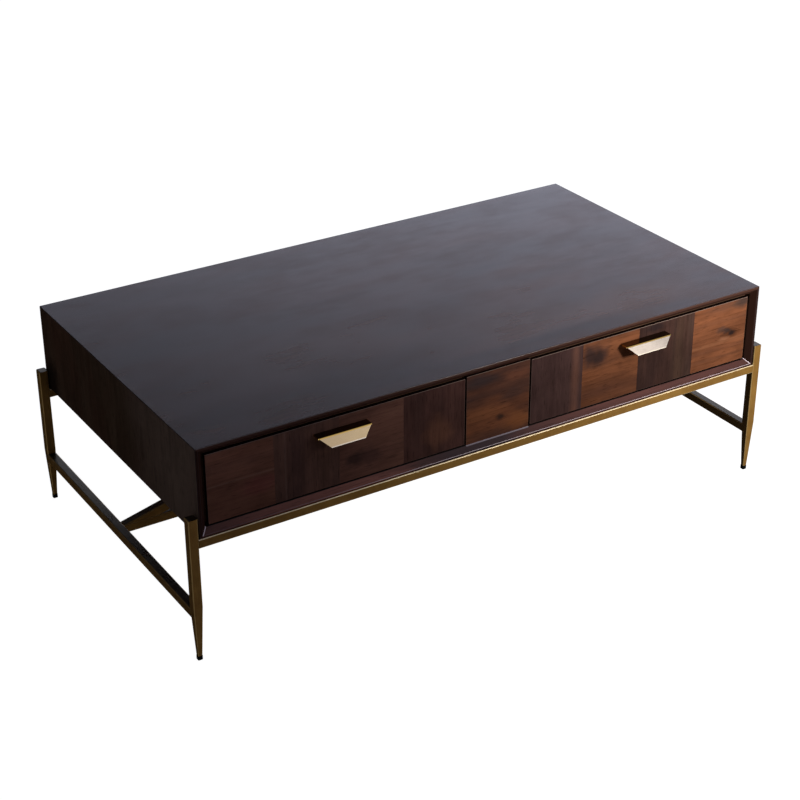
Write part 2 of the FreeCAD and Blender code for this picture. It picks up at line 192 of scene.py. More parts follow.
def build_grain_group():
    group, given, out = new_group("grain", {
        "Vector": ("Vector", (0, 0, 0)), "Seed": ("Float", 0.0), "Pith": ("Vector", (0, 0, 0)),
        "Rings per Metre": ("Float", 120.0), "Wander": ("Float", 0.02),
        "Knot": ("Vector", (9, 9, 9)), "Knot Size": ("Float", 0.01),
    }, ("Rings", "Cloud", "Fibre", "Pores", "Knot Mask"))
    vector = given["Vector"]
    seed = given["Seed"]
    away = add(group, "ShaderNodeVectorMath", {0: vector, 1: given["Knot"]}, operation="SUBTRACT")
    uneven = noise(group, vector, scale=60.0, seed=seed)
    spread = add(group, "ShaderNodeVectorMath", {0: stretch(group, away.outputs[0], KNOT_STRETCH)},
                 operation="LENGTH").outputs["Value"]
    near = calc(group, "DIVIDE", spread, given["Knot Size"])
    near = calc(group, "ADD", near, calc(group, "MULTIPLY_ADD", uneven, KNOT_UNEVEN, -KNOT_UNEVEN / 2))
    bulge = calc(group, "POWER", 0.5, calc(group, "MULTIPLY", near, near))
    push = add(group, "ShaderNodeVectorMath",
               {0: away.outputs[0], "Scale": calc(group, "MULTIPLY", bulge, -KNOT_PUSH)}, operation="SCALE")
    pushed = add(group, "ShaderNodeVectorMath", {0: vector, 1: push.outputs[0]}, operation="ADD").outputs[0]

    cloud = noise(group, stretch(group, pushed, CLOUD_STRETCH), scale=2.4, detail=3.0, seed=seed)
    around = add(group, "ShaderNodeVectorMath", {0: pushed, 1: given["Pith"]}, operation="ADD").outputs[0]
    radius = add(group, "ShaderNodeVectorMath", {0: stretch(group, around, (0.0, 1.0, 1.0))},
                 operation="LENGTH").outputs["Value"]
    bent = calc(group, "MULTIPLY_ADD", calc(group, "SUBTRACT", cloud, 0.5), given["Wander"], radius)
    turn = calc(group, "MULTIPLY", bent, given["Rings per Metre"])
    late = calc(group, "FRACT", turn)
    rise = calc(group, "POWER", late, RING_RISE)
    fall = step(group, late, *RING_FALL)
    broken = noise(group, stretch(group, pushed, BREAK_STRETCH), scale=2.0, seed=seed)
    rings = calc(group, "MULTIPLY", calc(group, "MULTIPLY", rise, fall), step(group, broken, *RING_BREAKS))
    fibre = noise(group, stretch(group, pushed, FIBRE_STRETCH), scale=1.0, detail=3.0, seed=seed, rough=0.6)
    pore = noise(group, stretch(group, pushed, PORE_STRETCH), scale=1.0, detail=1.0, seed=seed)
    core = step(group, near, *KNOT_CORE)
    for label, value in (("Rings", rings), ("Cloud", cloud), ("Fibre", fibre),
                         ("Pores", step(group, pore, *PORE_HOLES)), ("Knot Mask", core)):
        group.links.new(value, out[label])
    return group


grain_group = build_grain_group()
print("group:", grain_group.name)

# %% [markdown]
# Stained wood also takes colour unevenly. A streak is a band of darker heartwood or paler sapwood
# that follows the grain, with soft edges, and it fades in and out along its length.

# %% The streak group
SWAY_STRETCH = (5.0, 5.0, 12.0)
FADE_STRETCH = (9.0, 1.0, 1.0)
STREAK_FADES = (0.30, 0.62)
STREAK_LEAST = 0.4


def build_streak_group():
    group, given, out = new_group("streak", {
        "Vector": ("Vector", (0, 0, 0)), "Place": ("Float", 0.0), "Half Width": ("Float", 0.01),
        "Softness": ("Float", 0.004), "Seed": ("Float", 0.0),
    }, ("Mask",))
    across = add(group, "ShaderNodeSeparateXYZ", {0: given["Vector"]}).outputs["Z"]
    sway = noise(group, stretch(group, given["Vector"], SWAY_STRETCH), scale=2.0, detail=3.0,
                 seed=given["Seed"])
    offset = calc(group, "SUBTRACT", across, given["Place"])
    offset = calc(group, "MULTIPLY_ADD", calc(group, "SUBTRACT", sway, 0.5), given["Half Width"], offset)
    beyond = calc(group, "SUBTRACT", calc(group, "ABSOLUTE", offset), given["Half Width"])
    softened = calc(group, "DIVIDE", beyond, given["Softness"])
    fade = noise(group, stretch(group, given["Vector"], FADE_STRETCH), scale=2.0, seed=given["Seed"])
    lasting = calc(group, "MULTIPLY_ADD", step(group, fade, *STREAK_FADES), 1.0 - STREAK_LEAST, STREAK_LEAST)
    group.links.new(calc(group, "MULTIPLY", step(group, softened, 1.0, -1.0), lasting), out["Mask"])
    return group


streak_group = build_streak_group()
print("group:", streak_group.name)

# %% [markdown]
# A smudge is a soft patch of another brown, where a branch left its stain or the polish took unevenly.
# It has a place and a half size, and slow noise pulls its outline about.

# %% The smudge group
SMUDGE_PULL = 1.4
SMUDGE_EDGE = (1.3, 0.3)


def build_smudge_group():
    group, given, out = new_group("smudge", {
        "Vector": ("Vector", (0, 0, 0)), "Place": ("Vector", (0, 0, 0)),
        "Half Size": ("Vector", (0.01, 0.01, 0.01)), "Seed": ("Float", 0.0),
    }, ("Mask",))
    away = add(group, "ShaderNodeVectorMath", {0: given["Vector"], 1: given["Place"]}, operation="SUBTRACT")
    scaled = add(group, "ShaderNodeVectorMath", {0: away.outputs[0], 1: given["Half Size"]},
                 operation="DIVIDE").outputs[0]
    spread = add(group, "ShaderNodeVectorMath", {0: scaled}, operation="LENGTH").outputs["Value"]
    pull = noise(group, scaled, scale=1.1, detail=3.0, seed=given["Seed"])
    spread = calc(group, "ADD", spread, calc(group, "MULTIPLY_ADD", pull, SMUDGE_PULL, -SMUDGE_PULL / 2))
    group.links.new(step(group, spread, *SMUDGE_EDGE), out["Mask"])
    return group


smudge_group = build_smudge_group()
print("group:", smudge_group.name)

# %% [markdown]
# ## One recipe for every board
# A board's material turns the object's coordinates so that X runs along its grain, asks the group for
# the masks, and lays them over each other: the slow clouds choose between two browns, the rings and
# fibres darken, the pores and the knot go nearly black. Stain takes in patches, which tint the wood
# and dull its lacquer. Roughness and bump follow the same masks, so the sheen breaks up where the
# wood does, and each kind of board has its own function for its edges.

# %% The board recipe
GRAIN_TURNS = {"X": (0.0, 0.0, 0.0), "Y": (0.0, 0.0, -math.pi / 2), "Z": (0.0, math.pi / 2, 0.0)}
FIBRE_TONE = 0.5
PORE_DARK = 0.45
KNOT_DARK = 0.3
CLOUD_ROUGH = 0.16
PORE_ROUGH = 0.15
FIBRE_DEPTH = 0.02 * MM
SHEEN_GRAIN = 0.22
LACQUERED = (0.25, 0.60)
PATCH_STRETCH = (0.42, 1.0, 1.0)
PATCH_EDGE = (0.36, 0.72)


def along_grain(along, x, z):
    """The place (x, z) on the table's front, in the turned coordinates of a board."""
    turned = {"X": (x, face_y, z), "Z": (z, face_y, -x), "Y": (-face_y, x, z)}
    return turned[along]


def streaked(tree, vector, colour, streaks, seed):
    """Colour with streaks along the grain, each a (place across it, half width, colour, amount)."""
    for number, (place, half, tint, amount) in enumerate(streaks):
        mask = use(tree, streak_group, {"Vector": vector, "Place": place, "Half Width": half,
                                        "Softness": half * 0.9, "Seed": seed + number})["Mask"]
        colour = blend(tree, calc(tree, "MULTIPLY", mask, amount), colour, (*tint, 1.0))
    return colour


def smudged(tree, vector, colour, smudges, seed):
    """Colour with soft patches, each a (place, half size, colour, amount)."""
    for number, (place, half, tint, amount) in enumerate(smudges):
        mask = use(tree, smudge_group, {"Vector": vector, "Place": place, "Half Size": half,
                                        "Seed": seed + number})["Mask"]
        colour = blend(tree, calc(tree, "MULTIPLY", mask, amount), colour, (*tint, 1.0))
    return colour


def board(name, pale, deep, along="X", seed=0.0, rings=120.0, wander=0.02, pith=(0.0, 0.06, 0.09),
          ring_dark=0.45, rough=0.5, knot=None, streaks=(), smudges=(), cloud_range=(0.35, 0.68),
          lacquer=None, patches=None, edges=None):
    """A board's material. knot is (x, z, size); lacquer is the roughness and the weight of a coat on
    the faces that look up; patches are (how many per metre, colour, amount, dulling of the coat);
    edges is a function that finishes the colour by face and place."""
    material, tree, sockets, where = new_material(name, Specular_IOR_Level=0.0)
    vector = add(tree, "ShaderNodeMapping",
                 {"Vector": where["Object"], "Rotation": GRAIN_TURNS[along]}).outputs[0]
    inputs = {"Vector": vector, "Seed": seed, "Pith": pith, "Rings per Metre": rings, "Wander": wander}
    if knot:
        inputs["Knot"] = along_grain(along, knot[0], knot[1])
        inputs["Knot Size"] = knot[2]
    masks = use(tree, grain_group, inputs)
    edge = use(tree, edge_group, {"Normal": where["Normal"]})
    colour = blend(tree, step(tree, masks["Cloud"], *cloud_range), (*deep, 1.0), (*pale, 1.0))
    patchy = 0.0
    if patches:
        density, tint, amount, dulling = patches
        taken = noise(tree, stretch(tree, vector, PATCH_STRETCH), density, detail=4.0, seed=seed + 5.0,
                      rough=0.58)
        patchy = step(tree, taken, *PATCH_EDGE)
        colour = blend(tree, calc(tree, "MULTIPLY", patchy, amount), colour, (*tint, 1.0))
    colour = streaked(tree, vector, colour, streaks, seed)
    colour = smudged(tree, where["Object"], colour, smudges, seed)
    dark = calc(tree, "MULTIPLY_ADD", masks["Rings"], -ring_dark, 1.0)
    fibrous = calc(tree, "MULTIPLY_ADD", masks["Fibre"], FIBRE_TONE, 1.0 - FIBRE_TONE / 2)
    dark = calc(tree, "MULTIPLY", dark, fibrous)
    dark = calc(tree, "MULTIPLY", dark, calc(tree, "MULTIPLY_ADD", masks["Pores"], -PORE_DARK, 1.0))
    dark = calc(tree, "MULTIPLY", dark, calc(tree, "MULTIPLY_ADD", masks["Knot Mask"], -KNOT_DARK, 1.0))
    shade = add(tree, "ShaderNodeCombineColor", {0: dark, 1: dark, 2: dark}).outputs[0]
    colour = blend(tree, 1.0, colour, shade, "MULTIPLY")
    if edges:
        place = add(tree, "ShaderNodeSeparateXYZ", {0: where["Object"]}).outputs
        colour = edges(tree, edge, place, colour)
    tree.links.new(colour, sockets["Base Color"])
    if lacquer:
        sockets["Coat Roughness"].default_value = lacquer[0]
        coat = calc(tree, "MULTIPLY", step(tree, edge["Up"], *LACQUERED), lacquer[1])
        grained = calc(tree, "MULTIPLY_ADD", masks["Fibre"], SHEEN_GRAIN, 1.0 - SHEEN_GRAIN / 2)
        coat = calc(tree, "MULTIPLY", coat, grained)
        if patches:
            coat = calc(tree, "MULTIPLY", coat, calc(tree, "MULTIPLY_ADD", patchy, -dulling, 1.0))
        tree.links.new(coat, sockets["Coat Weight"])
    uneven = calc(tree, "MULTIPLY_ADD", masks["Cloud"], CLOUD_ROUGH, rough - CLOUD_ROUGH / 2)
    tree.links.new(calc(tree, "MULTIPLY_ADD", masks["Pores"], PORE_ROUGH, uneven), sockets["Roughness"])
    height = calc(tree, "MULTIPLY_ADD", masks["Pores"], -1.0, masks["Fibre"])
    relief(tree, sockets, height, FIBRE_DEPTH)
    return material


def rounded(tree, edge):
    """Mask of a board's rounded edges, without its flat faces and its 45 degree bevels."""
    past_bevel = step(tree, edge["Square"], 0.715, 0.76)
    short_of_flat = step(tree, edge["Square"], 0.998, 0.975)
    return calc(tree, "MULTIPLY", past_bevel, short_of_flat)


def tint_by(tree, colour, tint, *masks):
    """The colour with a tint over it where all the masks meet."""
    meet = masks[0]
    for mask in masks[1:]:
        meet = calc(tree, "MULTIPLY", meet, mask)
    return blend(tree, meet, colour, (*tint, 1.0))


def finish_with(material, *names):
    """Gives CAD nodes a material."""
    for name in names:
        node = nodes[name]
        node.data.materials.clear()
        node.data.materials.append(material)


# %% [markdown]
# ## The case
# Four boards of one very dark stained wood, mitred so that the grain of the top runs over the corner
# and down the sides. The top is buffed to a sheen and the other faces are duller.

# %% Case colours
TOP_PALE = (0.052, 0.025, 0.021)
TOP_DEEP = (0.013, 0.009, 0.010)
TOP_ROSE = (0.088, 0.041, 0.025)
TOP_FRONT = (0.062, 0.027, 0.018)
# A painted highlight for the top's rounded arrises.
TOP_ARRIS_HIGHLIGHT = (0.070, 0.042, 0.034)
SILL_PALE = (0.116, 0.045, 0.036)
SILL_DEEP = (0.074, 0.030, 0.024)
SILL_ROSE = (0.200, 0.074, 0.052)
SILL_DUSK = (0.026, 0.018, 0.020)
# Painted highlights for the sill's arris, dimmer and brighter, for the foot of the centre block and for the
# mitres.
SILL_ARRIS_HIGHLIGHT = (0.44, 0.37, 0.38)
SILL_ARRIS_DIM_HIGHLIGHT = (0.15, 0.10, 0.10)
SILL_FOOT_HIGHLIGHT = (0.20, 0.17, 0.19)
MITRE_HIGHLIGHT = (0.74, 0.62, 0.64)
SIDE_PALE = (0.130, 0.084, 0.048)
SIDE_DEEP = (0.085, 0.050, 0.029)
SIDE_RUST = (0.150, 0.070, 0.040)
SIDE_FRONT_PALE = (0.230, 0.160, 0.112)
# A painted shadow of the rear leg on the side.
SIDE_LEG_SHADOW = (0.022, 0.014, 0.010)
RIM = (0.028, 0.012, 0.008)
# A faint painted highlight for the upright rims' arrises.
RIM_ARRIS_HIGHLIGHT = (0.042, 0.028, 0.028)
# Painted shade for the sill's lower edge, the floor under the fronts and the fronts' faces that do not look
# ahead.
PAINTED_SHADE = (0.008, 0.004, 0.003)

# %% [markdown]
# The rim round the drawers carries painted light and shade. The long sill has a painted highlight
# along its arris, brighter towards the right, painted highlights in its mitres and along the foot of
# the centre block, and painted shade under the fronts and at its lower edge. The upright rims are
# nearly black, with a faint painted highlight on their arrises. Each pair of values is where a mask
# starts and is full.

# %% Edges of the case
TOP_AHEAD = (0.45, 0.80)
SILL_AHEAD = (0.5, 0.8)
SILL_UP = (0.3, 0.6)
RIM_AHEAD = (0.3, 0.6)
ARRIS_HIGHLIT_RIGHT = (-0.50, -0.10)
LOW_EDGE = (case_low.z + 2.8 * MM, case_low.z + 1.2 * MM)
FRONT_HALF = (0.5 * face_y, 0.9 * face_y)
UNDER_FRONTS = (face_y - 1.0 * MM, face_y - 0.2 * MM)
UNDER_BLOCK = (centre_half + 0.4 * MM, centre_half - 0.4 * MM)
BLOCK_FOOT = (face_y - 2.0 * MM, face_y - 1.2 * MM)
MITRE_HIGHLIGHT_BAND = (-1.9 * MM, -0.9 * MM)


def top_edges(tree, edge, place, colour):
    """Warmer on the front face, with a painted highlight on the arrises."""
    colour = tint_by(tree, colour, TOP_FRONT, step(tree, edge["Ahead"], *TOP_AHEAD))
    return tint_by(tree, colour, TOP_ARRIS_HIGHLIGHT, rounded(tree, edge))


def sill_edges(tree, edge, place, colour):
    """The sill's painted highlights on its arris, in its mitres and at the foot of the centre block, and
    painted shade at its lower edge and under the fronts.
    """
    arris = rounded(tree, edge)
    colour = tint_by(tree, colour, SILL_ARRIS_DIM_HIGHLIGHT, arris)
    colour = tint_by(tree, colour, SILL_ARRIS_HIGHLIGHT, arris, step(tree, place["X"], *ARRIS_HIGHLIT_RIGHT))
    # Painted shade at the sill's lower edge and under the fronts.
    low = step(tree, place["Z"], *LOW_EDGE)
    colour = tint_by(tree, colour, PAINTED_SHADE, low, step(tree, edge["Ahead"], *SILL_AHEAD))
    front_half = step(tree, place["Y"], *FRONT_HALF)
    colour = tint_by(tree, colour, PAINTED_SHADE, step(tree, place["Y"], *UNDER_FRONTS), front_half)
    # A painted highlight along the foot of the centre block.
    aside = calc(tree, "ABSOLUTE", place["X"])
    under_block = step(tree, aside, *UNDER_BLOCK)
    foot = step(tree, place["Y"], *BLOCK_FOOT)
    colour = tint_by(tree, colour, SILL_FOOT_HIGHLIGHT, under_block, foot, front_half)
    # A painted highlight along the mitre lines of the sill's bevel.
    past_mitre = calc(tree, "SUBTRACT", calc(tree, "ADD", aside, place["Z"]), case_high.x + case_low.z)
    mitre = step(tree, past_mitre, *MITRE_HIGHLIGHT_BAND)
    return tint_by(tree, colour, MITRE_HIGHLIGHT, mitre, step(tree, edge["Up"], *SILL_UP))


def rim_edges(tree, edge, place, colour):
    """Nearly black on the front of an upright rim, with a faint painted highlight on its arrises."""
    colour = tint_by(tree, colour, RIM, step(tree, edge["Ahead"], *RIM_AHEAD))
    return tint_by(tree, colour, RIM_ARRIS_HIGHLIGHT, rounded(tree, edge))


# %% [markdown]
# The top is lacquered the most, with warm patches along its front and a dark line near the edge. The
# sill turns from rose at its left to a dusky middle, and the sides are paler in front, with a painted
# shadow of the rear leg behind.

# %% Case boards
top_z = case_high.z
left_x = case_low.x
top_wood = board("top_wood", TOP_PALE, TOP_DEEP, "X", seed=3.1, rings=70.0, wander=0.05,
                 pith=(0.0, 0.10, -0.30), ring_dark=0.20, lacquer=(0.22, 1.0), cloud_range=(0.30, 0.75),
                 patches=(24.0, TOP_ROSE, 0.50, 0.20), edges=top_edges, smudges=(
                     ((0.08, -0.19, top_z), (0.22, 0.08, 1.0), TOP_ROSE, 0.55),
                     ((0.34, -0.22, top_z), (0.14, 0.06, 1.0), TOP_ROSE, 0.6),
                     ((-0.24, -0.10, top_z), (0.26, 0.08, 1.0), TOP_ROSE, 0.35),
                     ((0.00, -0.27, top_z), (0.30, 0.012, 1.0), TOP_DEEP, 0.6)))
sill_wood = board("sill_wood", SILL_PALE, SILL_DEEP, "X", seed=7.7, rings=90.0, wander=0.03,
                  pith=(0.0, 0.10, -0.20), ring_dark=0.5, lacquer=(0.34, 0.20), edges=sill_edges, smudges=(
                      ((-0.40, front_y, case_low.z), (0.24, 1.0, 1.0), SILL_ROSE, 0.8),
                      ((-0.05, front_y, case_low.z), (0.15, 1.0, 1.0), SILL_DUSK, 0.85)))
# The side's dark patch near the rear leg is that leg's painted shadow.
side_wood = board("side_wood", SIDE_PALE, SIDE_DEEP, "Z", seed=5.2, rings=80.0, wander=0.04,
                  pith=(0.0, 0.10, 0.65), ring_dark=0.35, lacquer=(0.34, 0.4), edges=rim_edges,
                  patches=(9.0, SIDE_RUST, 0.5, 0.0), smudges=(
                      ((left_x, -0.27, 0.31), (1.0, 0.20, 0.20), SIDE_FRONT_PALE, 0.85),
                      ((left_x, 0.295, 0.25), (1.0, 0.035, 0.05), SIDE_LEG_SHADOW, 0.8)))
finish_with(top_wood, "top_panel")
finish_with(sill_wood, "bottom_panel")
finish_with(side_wood, "left_side_panel", "right_side_panel")
print("case woods:", top_wood.name, sill_wood.name, side_wood.name)

# %% [markdown]
# ## The nine front blocks
# Each drawer front is four blocks of different timber glued side by side, and a ninth block fills the
# bay between the drawers. Some run upright and some level, so the same lamp gives nine tones. A
# streak is placed by its height on a level board, and by its distance to the left on an upright one.

# %% Front blocks
# A painted highlight for the fronts' rounded arrises.
FRONT_ARRIS_HIGHLIGHT = (0.22, 0.155, 0.125)
SIDE_ARRIS_SHARE = 0.3
FRONT_UP = (0.15, 0.45)
FRONT_ASIDE = (0.60, 0.30)
# Painted light that makes each front paler towards its top.
TOP_LIGHT_LEAST = 0.96
TOP_LIGHT = 0.28
fronts_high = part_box("left_front_block_1")[1].z
TOP_LIGHT_BAND = (fronts_high - 70 * MM, fronts_high - 5 * MM)
PATCH_TINT = 0.62


def front_edges(tree, edge, place, colour):
    """A front is painted a little paler towards its top, as painted light. The top arris gets a painted
    highlight, the side arrises less, and the faces that do not look ahead get painted shade."""
    lift = calc(tree, "MULTIPLY_ADD", step(tree, place["Z"], *TOP_LIGHT_BAND), TOP_LIGHT, TOP_LIGHT_LEAST)
    top_lit = add(tree, "ShaderNodeCombineColor", {0: lift, 1: lift, 2: lift}).outputs[0]
    colour = blend(tree, 1.0, colour, top_lit, "MULTIPLY")
    upward = step(tree, edge["Up"], *FRONT_UP)
    share = calc(tree, "MULTIPLY_ADD", upward, 1.0 - SIDE_ARRIS_SHARE, SIDE_ARRIS_SHARE)
    colour = tint_by(tree, colour, FRONT_ARRIS_HIGHLIGHT, rounded(tree, edge), share)
    return tint_by(tree, colour, PAINTED_SHADE, step(tree, edge["Ahead"], *FRONT_ASIDE))


def spot(x, z, half_x, half_z, colour, amount):
    """A smudge on the drawer fronts."""
    return ((x, face_y, z), (half_x, 1.0, half_z), colour, amount)


def front_board(name, pale, deep, along, seed, **looks):
    """The material of one front block, given to its node."""
    tint = tuple(PATCH_TINT * value for value in deep)
    finish_with(board(f"{name}_wood", pale, deep, along, seed, ring_dark=0.28, edges=front_edges,
                      patches=(42.0, tint, 0.65, 0.0), **looks), name)


front_board("left_front_block_1", (0.178, 0.078, 0.050), (0.140, 0.060, 0.038), "X", seed=11.0,
            streaks=((0.314, 0.0014, (0.195, 0.112, 0.080), 0.5), (0.345, 0.008, (0.084, 0.042, 0.032), 0.3)),
            smudges=(spot(-0.462, 0.293, 0.045, 0.018, (0.170, 0.052, 0.042), 0.55),))
front_board("left_front_block_2", (0.118, 0.059, 0.041), (0.084, 0.043, 0.032), "Z", seed=12.0,
            streaks=((0.418, 0.0014, (0.160, 0.098, 0.077), 0.4), (0.396, 0.016, (0.050, 0.026, 0.023), 0.5),
                     (0.324, 0.007, (0.040, 0.022, 0.019), 0.5)))
front_board("left_front_block_3", (0.134, 0.063, 0.043), (0.100, 0.045, 0.032), "X", seed=13.0,
            smudges=(spot(-0.285, 0.287, 0.022, 0.015, (0.022, 0.013, 0.012), 0.75),
                     spot(-0.258, 0.285, 0.020, 0.018, (0.040, 0.020, 0.018), 0.55),
                     spot(-0.225, 0.33, 0.04, 0.04, (0.140, 0.062, 0.042), 0.5)))
front_board("left_front_block_4", (0.074, 0.034, 0.027), (0.046, 0.022, 0.018), "Z", seed=14.0,
            streaks=((0.164, 0.010, (0.036, 0.019, 0.016), 0.45), (0.120, 0.006, (0.040, 0.021, 0.018), 0.3)),
            smudges=(spot(-0.125, 0.290, 0.03, 0.03, (0.112, 0.048, 0.029), 0.6),))
front_board("centre_block", (0.122, 0.044, 0.021), (0.066, 0.030, 0.021), "X", seed=15.0,
            knot=(0.005, 0.282, 0.006),
            streaks=((0.333, 0.007, (0.040, 0.022, 0.019), 0.6), (0.258, 0.006, (0.052, 0.026, 0.018), 0.5)),
            smudges=(spot(-0.036, 0.362, 0.042, 0.014, (0.034, 0.023, 0.022), 0.85),
                     spot(0.040, 0.356, 0.034, 0.012, (0.140, 0.050, 0.026), 0.5),
                     spot(-0.030, 0.298, 0.06, 0.016, (0.168, 0.062, 0.027), 0.6),
                     spot(0.045, 0.268, 0.034, 0.022, (0.172, 0.060, 0.021), 0.6),
                     spot(0.035, 0.322, 0.034, 0.012, (0.044, 0.026, 0.023), 0.5),
                     spot(0.005, 0.282, 0.009, 0.006, (0.030, 0.020, 0.016), 0.7)))
front_board("right_front_block_1", (0.062, 0.033, 0.029), (0.046, 0.024, 0.021), "Z", seed=16.0,
            streaks=((-0.166, 0.008, (0.120, 0.052, 0.033), 0.6),
                     (-0.177, 0.005, (0.030, 0.018, 0.017), 0.5)))
front_board("right_front_block_2", (0.168, 0.060, 0.026), (0.100, 0.038, 0.019), "X", seed=17.0,
            knot=(0.208, 0.344, 0.016),
            streaks=((0.270, 0.008, (0.062, 0.026, 0.017), 0.5), (0.326, 0.004, (0.085, 0.036, 0.020), 0.4)),
            smudges=(spot(0.208, 0.347, 0.036, 0.028, (0.060, 0.030, 0.022), 0.75),
                     spot(0.196, 0.350, 0.014, 0.022, (0.030, 0.020, 0.020), 0.65),
                     spot(0.219, 0.341, 0.018, 0.016, (0.026, 0.018, 0.018), 0.7),
                     spot(0.270, 0.357, 0.040, 0.010, (0.200, 0.074, 0.032), 0.4)))
front_board("right_front_block_3", (0.049, 0.024, 0.018), (0.032, 0.017, 0.014), "Z", seed=18.0,
            streaks=((-0.402, 0.012, (0.068, 0.038, 0.024), 0.5), (-0.426, 0.006, (0.058, 0.035, 0.025), 0.4),
                     (-0.391, 0.003, (0.026, 0.015, 0.013), 0.5),
                     (-0.345, 0.006, (0.030, 0.016, 0.014), 0.4)),
            smudges=(spot(0.342, 0.368, 0.022, 0.010, (0.018, 0.012, 0.012), 0.7),))
front_board("right_front_block_4", (0.208, 0.074, 0.032), (0.138, 0.050, 0.023), "X", seed=19.0,
            knot=(0.528, 0.311, 0.010),
            streaks=((0.284, 0.004, (0.085, 0.036, 0.022), 0.5), (0.266, 0.003, (0.090, 0.038, 0.022), 0.5),
                     (0.296, 0.003, (0.240, 0.100, 0.048), 0.4), (0.340, 0.004, (0.100, 0.042, 0.024), 0.4)),
            smudges=(spot(0.530, 0.310, 0.009, 0.006, (0.020, 0.017, 0.018), 0.85),
                     spot(0.517, 0.317, 0.012, 0.006, (0.034, 0.024, 0.022), 0.8),
                     spot(0.503, 0.322, 0.014, 0.007, (0.060, 0.036, 0.028), 0.65),
                     spot(0.512, 0.366, 0.050, 0.010, (0.085, 0.040, 0.026), 0.5),
                     spot(0.512, 0.302, 0.014, 0.004, (0.260, 0.115, 0.060), 0.5),
                     spot(0.550, 0.368, 0.020, 0.014, (0.036, 0.026, 0.022), 0.85)))
print("front blocks finished:", sum("_block" in name for name in nodes))

# %% [markdown]
# ## Hidden timber
# The drawer boxes, backing boards, partitions and back are plainer brown boards.

# %% Inner boards
BOX_PALE = (0.235, 0.135, 0.080)
BOX_DEEP = (0.165, 0.092, 0.055)
BACK_PALE = (0.060, 0.036, 0.026)
BACK_DEEP = (0.036, 0.022, 0.017)
inner_wood = board("inner_wood", BOX_PALE, BOX_DEEP, "Y", seed=21.0, rings=100.0)
cross_wood = board("cross_wood", BOX_PALE, BOX_DEEP, "X", seed=22.0, rings=100.0)
back_wood = board("back_wood", BACK_PALE, BACK_DEEP, "X", seed=23.0, rings=60.0, wander=0.06)
finish_with(back_wood, "back_panel")
finish_with(cross_wood, "centre_backing", "mitre_splines")
finish_with(inner_wood, "left_partition", "right_partition")
for side in ("left", "right"):
    finish_with(cross_wood, f"{side}_drawer_backing", f"{side}_drawer_back", f"{side}_drawer_bottom")
    finish_with(inner_wood, f"{side}_drawer_left_side", f"{side}_drawer_right_side")
print("woods made:", sum(material.name.endswith("_wood") for material in bpy.data.materials))

# %% [markdown]
# ## Metals
# The frame is aged brass: a satin brown-gold skin, a little mottled, polished along the arrises, which
# also get a painted highlight. The faces that look up are painted a smooth dark grey that stands in for
# the sky they reflect, and the inner faces of the ends are painted nearly black as shade.

# %% The metal recipe
LINE_TONE = 0.35
MOTTLE_TONE = 0.8
TONE_BAND = (0.35, 0.80)
LINE_ROUGH = 0.35
MOTTLE_ROUGH = 0.30
LEAST_ROUGH = 0.675
EDGE_UNEVEN = 0.6
EDGE_POLISH = -0.14
# Faces that look up are painted grey for the sky they reflect, and are smoother.
LEVEL_UP = (0.90, 0.99)
TOP_GREY_POLISH = -0.15
METAL_RELIEF = 0.006 * MM


def metal(name, pale, deep, metallic, rough, lines=(1.0, 1.0, 1.0), grain_scale=900.0, mottle=18.0,
          polished_highlit_edges=None, highlight_colour=(1, 1, 1), edge_metallic=0.0, faces=None, top_grey=None):
    """Satin metal in two slow tones, with fine lines. The edge function gives the mask of the polished
    arrises, which also get a painted highlight; faces is one that finishes the colour by face; and the
    colour for the faces on top is painted, standing in for the sky they reflect."""
    material, tree, sockets, where = new_material(name, Specular_IOR_Level=0.0)
    edge = use(tree, edge_group, {"Normal": where["Normal"]})
    place = add(tree, "ShaderNodeSeparateXYZ", {0: where["Object"]}).outputs
    slow = noise(tree, where["Object"], mottle, detail=4.0, seed=1.0, rough=0.6)
    fine = noise(tree, stretch(tree, where["Object"], lines), grain_scale, seed=2.0)
    tone = calc(tree, "MULTIPLY_ADD", fine, LINE_TONE, calc(tree, "MULTIPLY", slow, MOTTLE_TONE))
    colour = blend(tree, step(tree, tone, *TONE_BAND), (*deep, 1.0), (*pale, 1.0))
    uneven = calc(tree, "MULTIPLY_ADD", slow, MOTTLE_ROUGH, LEAST_ROUGH)
    uneven = calc(tree, "MULTIPLY_ADD", fine, LINE_ROUGH, uneven)
    spread = calc(tree, "MULTIPLY", uneven, rough)
    shine = metallic
    if faces:
        colour = faces(tree, edge, place, colour)
    # Polished arrises, which also get a painted highlight in their colour.
    if polished_highlit_edges:
        patchy = calc(tree, "MULTIPLY_ADD", slow, EDGE_UNEVEN, 1.0 - EDGE_UNEVEN / 2)
        polished_and_highlit = calc(tree, "MULTIPLY", polished_highlit_edges(tree, edge, place), patchy, clamp=True)
        colour = blend(tree, polished_and_highlit, colour, (*highlight_colour, 1.0))
        spread = calc(tree, "MULTIPLY_ADD", polished_and_highlit, EDGE_POLISH, spread)
        shine = calc(tree, "MULTIPLY_ADD", polished_and_highlit, edge_metallic - metallic, metallic)
    if top_grey:
        level = step(tree, edge["Up"], *LEVEL_UP)
        colour = tint_by(tree, colour, top_grey, level)
        spread = calc(tree, "MULTIPLY_ADD", level, TOP_GREY_POLISH, spread)
        shine = calc(tree, "MAXIMUM", shine, level)
    if isinstance(shine, bpy.types.NodeSocket):
        tree.links.new(shine, sockets["Metallic"])
    else:
        sockets["Metallic"].default_value = shine
    tree.links.new(colour, sockets["Base Color"])
    tree.links.new(spread, sockets["Roughness"])
    relief(tree, sockets, fine, METAL_RELIEF)
    return material


# %% [markdown]
# The same brass is drawn along each tube, so the uprights, the long tubes and the cross tubes have
# their fine lines in different directions. The painted highlights on the arrises of the two rails are the
# brightest.

